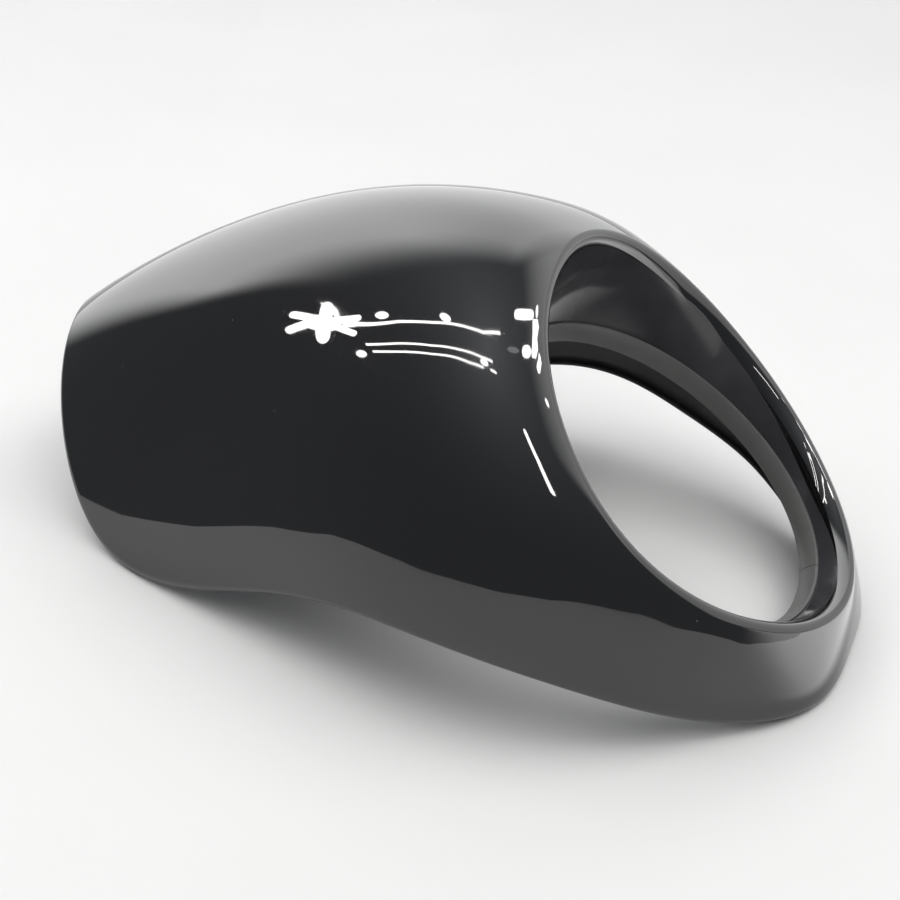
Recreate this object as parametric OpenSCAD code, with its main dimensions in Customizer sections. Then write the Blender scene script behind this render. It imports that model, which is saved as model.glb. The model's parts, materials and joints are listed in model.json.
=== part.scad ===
// Headlight cowl for a motorbike: one moulded shell that wraps round a round lamp,
// a rubber trim pressed on the edge of its lamp hole, and four threaded inserts.
//
// The shell is lofted round the lamp axis. At every clock angle, from 0 at the tail
// to 180 at the chin, one section runs from the lamp hole up the hole's wall, over the
// rounded nose, down the skin and round the rolled hem. Each size that changes round
// the clock is a smooth even curve through its values at named stations, so the left
// and the right half are the same.
//
// Lamp frame: X to the side, Y towards the tail, Z forward along the lamp axis, with
// the back edge of the lamp hole in the plane Z = 0. The whole part is then leaned and
// lowered until the chin and the two tail corners stand on the floor.

/* [Lamp opening] */
// Diameter of the lamp hole inside the trim
opening_d = 180; // [170:1:190]
// Length of the hole's cylindrical land, from its back edge
land = 4; // [2:0.5:6]
// How much wider than the land the trim's front edge is, on the radius
trim_flare = 2.6; // [1:0.1:3]
// Height of the trim's front edge over its back edge
trim_height = 9.5; // [8:0.5:11]
// Thickness of the trim's legs
trim_leg = 1.6; // [1.2:0.1:2]
// Thickness of the trim's web, behind the edge of the wall
trim_web = 2; // [1.4:0.1:2.6]
// Length of the trim's hidden outer leg
outer_leg = 8; // [6:0.5:9]
// Rounding of the trim's corners
trim_round = 0.7; // [0.4:0.1:0.7]
// Gap where the two ends of the trim meet
joint_gap = 0.4; // [0.2:0.1:1]
// Clock angle of that joint, on the left side
joint_clock = 166; // [150:1:175]
// Cone angle of the wall's edge that carries the trim
seat_draft = 15; // [12:1:18]

/* [Shell] */
// Thickness of the moulded wall
wall = 2.5; // [2:0.1:3]
// Radius of the rounded nose
nose_radius = 4.5; // [4:0.1:6]
// Radius of the rolled hem at the free edge
hem_radius = 5; // [4.5:0.1:6]
// Angle that the hem turns inwards
hem_turn = 70; // [40:5:80]

/* [Nose, distance outside the opening] */
// At the tail
tail_nose = 15; // [12:0.5:18]
// At the corner, 45 degrees round
corner_nose = 17; // [14:0.5:20]
// At the side
side_nose = 16; // [13:0.5:19]
// At the cheek, 135 degrees round
cheek_nose = 11.5; // [10:0.5:14]
// At the chin
chin_nose = 15.5; // [13:0.5:19]

/* [Nose, height over the back edge of the opening] */
// At the tail
tail_peak = 65; // [60:0.5:70]
// At the corner
corner_peak = 52; // [48:0.5:56]
// At the side
side_peak = 30; // [27:0.5:33]
// At the cheek
cheek_peak = 20; // [18:0.5:23]
// At the chin
chin_peak = 17.5; // [16:0.5:20]

/* [Free edge, distance outside the opening] */
// At the tail
tail_reach = 194; // [185:1:203]
// At the haunch, 22.5 degrees round
haunch_reach = 126.5; // [122:0.5:132]
// At the corner, 45 degrees round
corner_reach = 76.5; // [73:0.5:81]
// At the flank, 67.5 degrees round
flank_reach = 62.5; // [59:0.5:65]
// At the side
side_reach = 45.5; // [43:0.5:48]
// At the temple, 112.5 degrees round
temple_reach = 39; // [37:1:42]
// At the cheek, 135 degrees round
cheek_reach = 38.5; // [37:0.5:42]
// At the jaw, 157.5 degrees round
jaw_reach = 43.5; // [41:0.5:46]
// At the chin
chin_reach = 39; // [36:1:41]

/* [Free edge, distance behind the opening] */
// At the tail
tail_drop = 143; // [135:1:149]
// At the haunch
haunch_drop = 188; // [182:1:194]
// At the corner
corner_drop = 120.5; // [115:0.5:125]
// At the flank
flank_drop = 60.5; // [56:0.5:64]
// At the side
side_drop = 38; // [35:1:41]
// At the temple
temple_drop = 25.5; // [23:0.5:29]
// At the cheek
cheek_drop = 19; // [16:1:20]
// At the jaw
jaw_drop = 7.5; // [5:0.5:9]
// At the chin
chin_drop = 3.5; // [1:0.5:5]

/* [Skin, at clock 0, 60, 120 and 180] */
// Angle at which the skin falls away from the nose
nose_fall = [5, 18, 52, 36]; // [0:1:70]
// Distance over which it holds that angle
nose_hold = [118, 60, 6.5, 6.5]; // [5:0.5:130]
// Angle at which the skin falls to the free edge
edge_fall = [81, 109, 90, 54]; // [45:1:115]
// Distance over which it holds that angle
edge_hold = [8, 13, 18, 9.5]; // [8:0.5:30]

/* [Bosses and inserts] */
// Rear pair, distance from the lamp axis towards the tail
rear_boss_up = 125; // [115:1:135]
// Rear pair, distance behind the back edge of the opening
rear_boss_back = 85; // [78:1:92]
// Front pair, distance from the lamp axis towards the tail
front_boss_up = 86; // [82:1:92]
// Front pair, distance behind the back edge of the opening
front_boss_back = 34; // [30:1:38]
// Outer diameter of a boss
boss_d = 16; // [14:0.5:18]
// Height of a boss over the inside of the wall
boss_h = 14; // [13:0.5:18]
// Radius at the root of a boss
boss_root = 3; // [2:0.5:4]
// Outer diameter of a threaded insert
insert_d = 8; // [7.5:0.1:9]
// Length of a threaded insert
insert_l = 10; // [8:0.5:11]
// Diameter of the insert's tapped hole
thread_d = 5; // [4:0.1:5.2]
// Lead-in at the mouth of the tapped hole
thread_lead = 0.6; // [0.3:0.1:0.8]
// Depth of the groove round the middle of the insert
groove = 0.5; // [0.3:0.1:0.8]
// Width of that groove
groove_w = 2; // [1:0.5:3]

/* [Clearances] */
// Between the trim and each face of the wall
trim_clearance = 0.2; // [0.2:0.05:0.35]
// Between the trim's web and the end of the wall
end_clearance = 0.3; // [0.1:0.1:0.6]
// Between an insert and its pocket
insert_clearance = 0.05; // [0.03:0.01:0.1]

/* [Facets] */
// Sections round the clock
clock_steps = 84; // [80:4:100]
// Facets along the skin of one section
skin_steps = 13; // [10:1:16]
// Facets round the nose
nose_steps = 6; // [4:1:8]
// Facets round the hem
hem_steps = 4; // [3:1:5]

/* [Hidden] */

shell_black = [0.05, 0.05, 0.055];
trim_grey = [0.33, 0.33, 0.32];
brass = [0.78, 0.62, 0.32];

opening_r = opening_d / 2;
round_facets = 96;
small_facets = 48;
boss_facets = 28;
cap_steps = 3;

// Smooth values round the clock

function folded(i, last) = i < 0 ? -i : i > last ? 2 * last - i : i;

// Value of the curve at station i for the control values c
function at_station(c, i) =
    let (last = len(c) - 1)
    (c[folded(i - 1, last)] + 4 * c[i] + c[folded(i + 1, last)]) / 6;

// Control values of the even cubic curve that passes through the values v
function controls(v, c = undef, rounds = 40) =
    let (c0 = is_undef(c) ? v : c)
    rounds == 0 ? c0
    : controls(v, [for (i = [0:len(v) - 1]) c0[i] + v[i] - at_station(c0, i)], rounds - 1);

// Value of that curve at a clock angle
function around(c, clock) =
    let (
        last = len(c) - 1,
        g = clock / 180 * last,
        i = min(floor(g), last - 1),
        t = g - i
    )
    ((1 - t) ^ 3 * c[folded(i - 1, last)] + (3 * t ^ 3 - 6 * t ^ 2 + 4) * c[i]
     + (3 * t ^ 2 + 3 * t + 1 - 3 * t ^ 3) * c[i + 1] + t ^ 3 * c[folded(i + 2, last)]) / 6;

nose_out = controls([tail_nose, corner_nose, side_nose, cheek_nose, chin_nose]);
nose_up = controls([tail_peak, corner_peak, side_peak, cheek_peak, chin_peak]);
edge_out = controls([tail_reach, haunch_reach, corner_reach, flank_reach, side_reach,
                     temple_reach, cheek_reach, jaw_reach, chin_reach]);
edge_back = controls([tail_drop, haunch_drop, corner_drop, flank_drop, side_drop,
                      temple_drop, cheek_drop, jaw_drop, chin_drop]);
fall_out = controls(nose_fall);
hold_out = controls(nose_hold);
fall_in = controls(edge_fall);
hold_in = controls(edge_hold);

// One section, as points of radius from the lamp axis and height along it

// Radius of the trim's seat at height z
function seat_r(z) = opening_r + trim_leg + trim_clearance + z * tan(seat_draft);

wall_end = trim_web - trim_round + end_clearance;
seat_back = [seat_r(wall_end), wall_end];
seat_front = [seat_r(trim_height), trim_height];

function falling(angle) = [cos(angle), -sin(angle)];
function leaning(angle) = [sin(angle), cos(angle)];
function nose_centre(clock) = [opening_r + around(nose_out, clock), around(nose_up, clock)];
function nose_point(clock, angle) = nose_centre(clock) + nose_radius * leaning(angle);

// Angle at which the wall of the lamp hole meets the nose, so that it is tangent there
function wall_meets(clock) =
    let (d = seat_front - nose_centre(clock))
    atan2(d[0], d[1]) + acos(nose_radius / norm(d));

function edge_point(clock) =
    [opening_r + around(edge_out, clock), -around(edge_back, clock)];

// The skin from nose to hem, for s from 0 to 1
function skin(clock, s) =
    let (
        leaves = around(fall_out, clock),
        arrives = falling(around(fall_in, clock)),
        p0 = nose_point(clock, leaves),
        p1 = p0 + around(hold_out, clock) * falling(leaves),
        p2 = edge_point(clock) - around(hold_in, clock) * arrives,
        p3 = edge_point(clock) - hem_radius * arrives
    )
    (1 - s) ^ 3 * p0 + 3 * s * (1 - s) ^ 2 * p1 + 3 * s ^ 2 * (1 - s) * p2 + s ^ 3 * p3;

// The hem, rolled inwards with its outermost point on the free edge
function hem(clock, turn) =
    let (angle = around(fall_in, clock))
    edge_point(clock) - hem_radius * (falling(angle) + leaning(angle))
    + hem_radius * (cos(turn) * leaning(angle) + sin(turn) * falling(angle));

function outside(clock) =
    let (meets = wall_meets(clock), leaves = around(fall_out, clock))
    [
        seat_back,
        seat_front,
        (seat_front + nose_point(clock, meets)) / 2,
        for (i = [0:nose_steps - 1]) nose_point(clock, meets + (leaves - meets) * i / nose_steps),
        for (i = [0:skin_steps]) skin(clock, i / skin_steps),
        for (i = [1:hem_steps]) hem(clock, hem_turn * i / hem_steps)
    ];

// The shell's surface in the lamp frame

function turned(clock, p) = [p[0] * sin(clock), p[0] * cos(clock), p[1]];

// Clock angles with about equal steps along the free edge, denser at the wide tail
half_steps = clock_steps / 2;
function clock_at(j) =
    let (u = abs(j) / half_steps)
    sign(j) * 180 * (0.6 * u + 0.4 * u ^ 2);

function outside_ring(j) =
    let (clock = clock_at(j), side = clock < 0 ? -1 : 1)
    [for (p = outside(abs(clock))) let (q = turned(abs(clock), p)) [side * q[0], q[1], q[2]]];

outer = [for (j = [0:clock_steps - 1]) outside_ring(j - half_steps)];
last_point = len(outer[0]) - 1;

function unit(v) = v / norm(v);
function ring(j) = outer[(j + clock_steps) % clock_steps];

// Direction of the section at point i of section j
function along(j, i) =
    let (r = ring(j), here = r[i])
    unit((i > 0 ? unit(here - r[i - 1]) : [0, 0, 0])
         + (i < last_point ? unit(r[i + 1] - here) : [0, 0, 0]));

function outward(j, i) = unit(cross(ring(j + 1)[i] - ring(j - 1)[i], along(j, i)));

// The inside face has every other point of the outside, and both ends
function on_inside(i) = i % 2 == 0 || i == 1 || i == last_point;

// Rounded end of the hem
function hem_end(j, turn) =
    let (out = outward(j, last_point))
    ring(j)[last_point]
    + wall / 2 * ((cos(turn) - 1) * out + sin(turn) * along(j, last_point));

function shell_ring(j) =
    [
        each ring(j),
        for (i = [1:cap_steps - 1]) hem_end(j, 180 * i / cap_steps),
        for (i = [last_point:-1:0]) if (on_inside(i)) ring(j)[i] - wall * outward(j, i)
    ];

// Closed band of triangles through rings of points, with the last ring joined to the first
module hoop(rings) {
    n = len(rings);
    m = len(rings[0]);
    polyhedron(
        points = [for (r = rings) each r],
        faces = [
            for (j = [0:n - 1], i = [0:m - 1])
            let (
                a = j * m + i,
                b = j * m + (i + 1) % m,
                c = (j + 1) % n * m + (i + 1) % m,
                d = (j + 1) % n * m + i
            )
            each [[a, b, c], [a, c, d]]
        ]
    );
}

// Closed stack of rings of points, with a middle point under the first and over the last
module stack(rings, first, last) {
    n = len(rings);
    m = len(rings[0]);
    polyhedron(
        points = [for (r = rings) each r, first, last],
        faces = [
            for (j = [0:n - 2], i = [0:m - 1])
            let (
                a = j * m + i,
                b = j * m + (i + 1) % m,
                c = a + m,
                d = b + m
            )
            each [[a, b, d], [a, d, c]],
            for (i = [0:m - 1]) [n * m, (i + 1) % m, i],
            for (i = [0:m - 1]) [n * m + 1, (n - 1) * m + i, (n - 1) * m + (i + 1) % m]
        ]
    );
}

// Bosses on the inside of the side walls, with their axes straight across

function skin_3d(at) = turned(at[0], skin(at[0], at[1]));
clock_nudge = 0.1;
skin_nudge = 0.001;

// Clock angle and place along the skin of the point that is up from the lamp axis
// and at the height z, by Newton steps
function find_skin(up, z, at = [66, 0.7], rounds = 8) =
    rounds == 0 ? at
    : let (
        p = skin_3d(at),
        a = (skin_3d(at + [clock_nudge, 0]) - p) / clock_nudge,
        b = (skin_3d(at + [0, skin_nudge]) - p) / skin_nudge,
        e = [up - p[1], z - p[2]],
        det = a[1] * b[2] - a[2] * b[1]
    )
    find_skin(up, z, at + [e[0] * b[2] - e[1] * b[1], a[1] * e[1] - a[2] * e[0]] / det, rounds - 1);

// The point a given depth under the skin there, measured square to the skin
function under_skin(up, z, depth, start) =
    let (
        at = find_skin(up, z, start, 4),
        p = skin_3d(at),
        a = skin_3d(at + [clock_nudge, 0]) - p,
        b = skin_3d(at + [0, skin_nudge]) - p
    )
    [p[0] - depth / abs(unit(cross(a, b))[0]), up, z];

function boss_face(up, back) = under_skin(up, -back, wall, find_skin(up, -back))[0] - boss_h;

function boss_ring(up, back, r, depth) =
    let (start = find_skin(up, -back))
    [for (k = [0:boss_facets - 1])
        let (a = 360 * k / boss_facets)
        under_skin(up + r * cos(a), -back + r * sin(a), depth, start)];

module boss(up, back) {
    face = boss_face(up, back);
    r = boss_d / 2;
    root_depth = wall - 0.1 * boss_root;
    rings = [
        boss_ring(up, back, r + boss_root, wall / 2),
        for (t = [0:30:90])
            boss_ring(up, back, r + boss_root * (1 - sin(t)), root_depth + boss_root * (1 - cos(t))),
        [for (k = [0:boss_facets - 1])
            let (a = 360 * k / boss_facets)
            [face, up + r * cos(a), -back + r * sin(a)]]
    ];
    difference() {
        stack(rings, under_skin(up, -back, wall / 2, find_skin(up, -back)), [face, up, -back]);
        on_axis(up, back)
            translate([0, 0, -1])
                cylinder(r = insert_d / 2 + insert_clearance, h = insert_l + end_clearance + 1, $fn = small_facets);
    }
}

// Puts a child that points along Z on the axis of a boss, with Z = 0 in its flat face
module on_axis(up, back) {
    translate([boss_face(up, back), up, -back])
        rotate([0, 90, 0])
            children();
}

module right_side() {
    mirror([1, 0, 0])
        children();
}

// Trim, a channel turned round the lamp axis

// Quarter round from one direction to the next about a centre
function quarter(centre, r, from, to) =
    [for (t = [0:30:90]) centre + r * (cos(t) * from + sin(t) * to)];

module trim_section() {
    along_seat = [sin(seat_draft), cos(seat_draft)];
    off_seat = [cos(seat_draft), -sin(seat_draft)];
    inner_slot = seat_back - trim_clearance * off_seat - end_clearance * along_seat;
    outer_slot = inner_slot + (wall + 2 * trim_clearance) * off_seat;
    tip = [opening_r + trim_flare, trim_height];
    inner_tip = [seat_r(trim_height) - trim_clearance / cos(seat_draft), trim_height];
    outer_tip = outer_slot + outer_leg * along_seat;
    back = -trim_round;
    heel = outer_slot[0] + trim_leg / cos(seat_draft) - trim_round;
    polygon([
        each quarter([opening_r + trim_round, 0], trim_round, [0, -1], [-1, 0]),
        [opening_r, land],
        tip,
        inner_tip,
        inner_slot,
        outer_slot,
        outer_tip,
        each quarter(outer_tip + trim_leg / 2 * off_seat, trim_leg / 2, along_seat, off_seat),
        each quarter([heel, 0], trim_round, [1, 0], [0, -1])
    ]);
}

// Leaned and lowered so that the part stands

shell = [for (j = [0:clock_steps - 1]) shell_ring(j)];
hem_points = [for (r = shell) for (i = [last_point - hem_steps:last_point + cap_steps - 1]) r[i]];
tail_side = [for (p = hem_points) if (p[1] > 0) [p[1], p[2]]];
chin_side = [for (p = hem_points) if (p[1] <= 0) [p[1], p[2]]];

function stood(p, lean) = [p[0] * sin(lean) - p[1] * cos(lean), p[0] * cos(lean) + p[1] * sin(lean)];
function lowest(points, lean) =
    let (q = [for (p = points) stood(p, lean)], low = min([for (p = q) p[1]]))
    [for (p = q) if (p[1] == low) p][0];

// Elevation of the lamp axis at which the lowest points of tail and chin are level
function rest_lean(lean = 60, rounds = 12) =
    rounds == 0 ? lean
    : let (step = lowest(tail_side, lean) - lowest(chin_side, lean))
    rest_lean(lean + atan2(step[1], step[0]), rounds - 1);

lean = rest_lean();
all_stood = [for (r = shell) for (p = r) stood([p[1], p[2]], lean)];
low = min([for (p = all_stood) p[1]]);
middle = (min([for (p = all_stood) p[0]]) + max([for (p = all_stood) p[0]])) / 2;

module standing() {
    translate([0, -middle, -low])
        rotate([90 - lean, 0, 0])
            children();
}

// Sub-parts

module cowl_shell() {
    color(shell_black)
        standing() {
            hoop(shell);
            boss(front_boss_up, front_boss_back);
            boss(rear_boss_up, rear_boss_back);
            right_side()
                boss(front_boss_up, front_boss_back);
            right_side()
                boss(rear_boss_up, rear_boss_back);
        }
}

module edge_trim() {
    half_gap = asin(joint_gap / 2 / opening_r);
    color(trim_grey)
        standing()
            rotate([0, 0, 90 - joint_clock + half_gap])
                rotate_extrude(angle = 360 - 2 * half_gap, $fn = round_facets)
                    trim_section();
}

module insert(up, back) {
    r = insert_d / 2;
    hole = thread_d / 2;
    color(brass)
        standing()
            on_axis(up, back)
                rotate_extrude($fn = small_facets)
                    polygon([
                        [hole + thread_lead, 0],
                        [r, 0],
                        [r, (insert_l - groove_w) / 2],
                        [r - groove, (insert_l - groove_w) / 2],
                        [r - groove, (insert_l + groove_w) / 2],
                        [r, (insert_l + groove_w) / 2],
                        [r, insert_l - thread_lead],
                        [r - thread_lead, insert_l],
                        [hole, insert_l],
                        [hole, thread_lead]
                    ]);
}

module insert_front_left() {
    insert(front_boss_up, front_boss_back);
}

module insert_front_right() {
    right_side()
        insert(front_boss_up, front_boss_back);
}

module insert_rear_left() {
    insert(rear_boss_up, rear_boss_back);
}

module insert_rear_right() {
    right_side()
        insert(rear_boss_up, rear_boss_back);
}

cowl_shell();
edge_trim();
insert_front_left();
insert_front_right();
insert_rear_left();
insert_rear_right();
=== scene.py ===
"""Looks of a moulded headlight cowl: gloss skin, rubber edge trim and brass inserts.

The shapes are worked out in the lamp frame of the part, in millimetres: X to the side,
Y towards the tail and Z forward along the lamp axis, from the back edge of the opening.
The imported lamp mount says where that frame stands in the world.
"""

import json
import logging
import math
from collections.abc import Sequence
from dataclasses import dataclass
from enum import Enum
from typing import Any

import bpy
import numpy as np
from mathutils import Matrix, Vector


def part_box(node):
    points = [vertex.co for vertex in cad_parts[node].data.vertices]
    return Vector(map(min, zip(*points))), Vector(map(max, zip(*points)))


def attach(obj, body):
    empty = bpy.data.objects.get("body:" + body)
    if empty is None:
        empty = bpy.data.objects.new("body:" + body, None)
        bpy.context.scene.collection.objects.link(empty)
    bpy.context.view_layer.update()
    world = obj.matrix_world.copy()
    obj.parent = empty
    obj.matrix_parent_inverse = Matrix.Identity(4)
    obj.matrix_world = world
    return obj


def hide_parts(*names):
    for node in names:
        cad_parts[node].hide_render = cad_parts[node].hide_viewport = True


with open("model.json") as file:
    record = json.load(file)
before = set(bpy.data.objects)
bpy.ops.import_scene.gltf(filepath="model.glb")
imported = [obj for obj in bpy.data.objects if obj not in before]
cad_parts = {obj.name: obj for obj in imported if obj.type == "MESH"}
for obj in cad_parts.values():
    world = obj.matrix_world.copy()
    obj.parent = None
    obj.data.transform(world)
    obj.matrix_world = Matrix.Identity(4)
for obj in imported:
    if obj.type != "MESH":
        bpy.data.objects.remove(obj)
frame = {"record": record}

LOG = logging.getLogger("cowl")
MM = 0.001
BODY = "root"


class Slot(Enum):
    """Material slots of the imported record."""

    GLOSS = "cowl_gloss"
    RUBBER = "trim_rubber"
    BRASS = "insert_brass"


class Side(Enum):
    """Side of the cowl, as the sign of X."""

    LEFT = 1
    RIGHT = -1


# Helpers for vectors, meshes and node trees


def unit(v: np.ndarray) -> np.ndarray:
    """Vectors of length 1 along the last axis."""
    return v / np.linalg.norm(v, axis=-1, keepdims=True)


def leaning(degrees: np.ndarray) -> np.ndarray:
    """Unit direction in a section, leaning outwards from the lamp axis."""
    angle = np.radians(degrees)
    return np.stack([np.sin(angle), np.cos(angle)], -1)


def falling(degrees: np.ndarray) -> np.ndarray:
    """Unit direction in a section, falling back from straight outwards."""
    angle = np.radians(degrees)
    return np.stack([np.cos(angle), -np.sin(angle)], -1)


def hoop_faces(rings: int, points: int, closed: bool = True) -> np.ndarray:
    """Quads between rings of points.

    Args:
        rings: number of rings.
        points: number of points in each ring.
        closed: whether the last ring joins the first.

    Returns:
        Array of four point numbers for each quad.
    """
    j = np.arange(rings if closed else rings - 1)[:, None]
    i = np.arange(points)[None, :]
    here, there = j * points, (j + 1) % rings * points
    onward = (i + 1) % points
    return np.stack([here + i, here + onward, there + onward, there + i], -1).reshape(-1, 4)


def new_mesh(name: str, points: np.ndarray, faces: Sequence[Sequence[int]]) -> bpy.types.Mesh:
    """Mesh of a list of points and faces.

    Args:
        name: the mesh's name.
        points: the points, in metres.
        faces: the point numbers of each face.

    Returns:
        The mesh.
    """
    mesh = bpy.data.meshes.new(name)
    mesh.from_pydata(np.asarray(points).tolist(), [], [list(map(int, f)) for f in faces])
    mesh.validate()
    mesh.update()
    return mesh


def new_object(name: str, mesh: bpy.types.Mesh) -> bpy.types.Object:
    """Links a new object at the origin.

    Args:
        name: the object's name.
        mesh: the mesh that it shows.

    Returns:
        The object.
    """
    piece = bpy.data.objects.new(name, mesh)
    bpy.context.scene.collection.objects.link(piece)
    return piece


def smooth(mesh: bpy.types.Mesh, sharp_degrees: float) -> None:
    """Shades a mesh smooth, apart from edges sharper than an angle."""
    mesh.shade_smooth()
    mesh.set_sharp_from_angle(angle=math.radians(sharp_degrees))


def settled(piece: bpy.types.Object) -> bpy.types.Mesh:
    """Plain mesh of an object with its modifiers applied.

    Args:
        piece: the object; its modifiers are removed and its mesh is replaced.

    Returns:
        The new mesh.
    """
    bpy.context.view_layer.update()
    evaluated = piece.evaluated_get(bpy.context.evaluated_depsgraph_get())
    mesh = bpy.data.meshes.new_from_object(evaluated)
    piece.modifiers.clear()
    old, piece.data = piece.data, mesh
    mesh.name = piece.name
    while None in mesh.materials[:]:
        mesh.materials.pop(index=mesh.materials[:].index(None))
    bpy.data.meshes.remove(old)
    return mesh


def remove(piece: bpy.types.Object) -> None:
    """Deletes a helper object and its mesh.

    Args:
        piece: the object.
    """
    mesh = piece.data
    bpy.data.objects.remove(piece)
    bpy.data.meshes.remove(mesh)


def direction(azimuth: float, elevation: float) -> Vector:
    """Unit vector towards an azimuth, counted from the front, and an elevation in degrees."""
    a, e = math.radians(azimuth), math.radians(elevation)
    return Vector((math.sin(a) * math.cos(e), -math.cos(a) * math.cos(e), math.sin(e)))


class TreeBuilder:
    """Adds nodes to a node tree and links them as they are added."""

    def __init__(self, tree: bpy.types.NodeTree) -> None:
        """Starts from an empty tree."""
        self.tree = tree
        tree.nodes.clear()

    def add(
        self, kind: str, inputs: dict[str | int, Any] | None = None, **settings: Any
    ) -> bpy.types.Node:
        """Adds one node.

        Args:
            kind: the node's type name.
            inputs: a value, or another node's output socket, for each input by name or place.
            settings: properties of the node itself.

        Returns:
            The node.
        """
        node = self.tree.nodes.new(kind)
        for key, value in settings.items():
            setattr(node, key, value)
        for key, value in (inputs or {}).items():
            if isinstance(value, bpy.types.NodeSocket):
                self.tree.links.new(value, node.inputs[key])
            else:
                node.inputs[key].default_value = value
        return node

    def math(self, operation: str, a: Any, b: Any = 0.0, clamp: bool = False) -> bpy.types.NodeSocket:
        """Result of a Math node for two values or sockets."""
        kind = "ShaderNodeMath"
        return self.add(kind, {0: a, 1: b}, operation=operation, use_clamp=clamp).outputs[0]

    def ramp(
        self, value: Any, low: float, high: float, to: tuple[float, float] = (0.0, 1.0)
    ) -> bpy.types.NodeSocket:
        """A value's smooth rise from low to high, given out between the two numbers of to."""
        inputs = {"Value": value, "From Min": low, "From Max": high, "To Min": to[0], "To Max": to[1]}
        return self.add("ShaderNodeMapRange", inputs, interpolation_type="SMOOTHSTEP").outputs[0]

    def noise(
        self, coords: bpy.types.NodeSocket, scale: float, detail: float, roughness: float = 0.5
    ) -> bpy.types.NodeSocket:
        """Value of a Noise Texture."""
        inputs = {"Vector": coords, "Scale": scale, "Detail": detail, "Roughness": roughness}
        return self.add("ShaderNodeTexNoise", inputs).outputs[0]

    def mix(self, factor: bpy.types.NodeSocket, *colours: Sequence[float]) -> bpy.types.NodeSocket:
        """Colour between two colours."""
        inputs = {"Factor": factor, "A": (*colours[0], 1), "B": (*colours[1], 1)}
        return self.add("ShaderNodeMix", inputs, data_type="RGBA").outputs["Result"]

    def bump(self, height: bpy.types.NodeSocket, distance: float) -> bpy.types.NodeSocket:
        """Normal of a surface with a height in it."""
        return self.add("ShaderNodeBump", {"Height": height, "Distance": distance, "Strength": 1.0}).outputs[0]

    def surface(self, kind: str, inputs: dict[str | int, Any]) -> None:
        """Ends a material's tree with one shader."""
        self.add("ShaderNodeOutputMaterial", {"Surface": self.add(kind, inputs).outputs[0]})

    def close(self, geometry: bpy.types.NodeSocket, finish: bpy.types.NodeSocket) -> bpy.types.NodeTree:
        """Ends a geometry tree with real geometry in its finish.

        Args:
            geometry: what the tree made.
            finish: its material.

        Returns:
            The finished tree.
        """
        real = self.add("GeometryNodeRealizeInstances", {0: geometry})
        dressed = self.add("GeometryNodeSetMaterial", {"Geometry": real.outputs[0], "Material": finish})
        self.add("NodeGroupOutput", {0: dressed.outputs[0]})
        return self.tree


def new_material(name: str) -> tuple[bpy.types.Material, TreeBuilder]:
    """Makes a material without nodes.

    Args:
        name: the material's name.

    Returns:
        The material and the builder of its tree.
    """
    material = bpy.data.materials.new(name)
    material.use_nodes = True
    return material, TreeBuilder(material.node_tree)


def new_geometry_tree(name: str, sizes: dict[str, str]) -> tuple[TreeBuilder, Any]:
    """Makes a geometry tree with inputs for geometry, sizes and finish.

    Args:
        name: the tree's name.
        sizes: the names of its size inputs, with their kinds of socket.

    Returns:
        The tree's builder and the sockets that give out its inputs.
    """
    group = bpy.data.node_groups.new(name, "GeometryNodeTree")
    for label, kind in {"Geometry": "Geometry", **sizes, "Finish": "Material"}.items():
        group.interface.new_socket(label, in_out="INPUT", socket_type="NodeSocket" + kind)
    group.interface.new_socket("Geometry", in_out="OUTPUT", socket_type="NodeSocketGeometry")
    tree = TreeBuilder(group)
    return tree, tree.add("NodeGroupInput").outputs


def set_inputs(modifier: bpy.types.NodesModifier, values: dict[str, Any]) -> None:
    """Sets the inputs of a geometry tree through their identifiers.

    Args:
        modifier: the modifier that holds the tree.
        values: the inputs' values by name.
    """
    for item in modifier.node_group.interface.items_tree:
        if item.in_out == "INPUT" and item.name in values:
            modifier[item.identifier] = values[item.name]


# The part's own frame and skin


@dataclass(frozen=True)
class LampFrame:
    """The lamp frame's place in the world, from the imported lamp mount."""

    centre: np.ndarray
    axis: np.ndarray
    opening_r: float
    land: float

    @classmethod
    def from_record(cls, record: dict[str, Any]) -> "LampFrame":
        """Reads the lamp opening, whose mount is at the middle of its land.

        Args:
            record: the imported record.

        Returns:
            The lamp frame.
        """
        mount = next(m for m in record["mounts"] if m["name"] == "lamp_opening")
        axis = unit(np.array(mount["axis"], float))
        land = mount["dims"]["length_mm"]
        centre = np.array(mount["pos_m"]) - axis * land / 2 * MM
        return cls(centre, axis, mount["dims"]["r_mm"], land)

    def matrix(self) -> np.ndarray:
        """Columns that are the world directions of X, Y and Z of the lamp frame."""
        side = np.array([1.0, 0.0, 0.0])
        return np.stack([side, np.cross(self.axis, side), self.axis], 1)

    def to_world(self, points: np.ndarray) -> np.ndarray:
        """Points in the lamp frame, in millimetres, as world points in metres."""
        return self.centre + points @ self.matrix().T * MM


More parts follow.
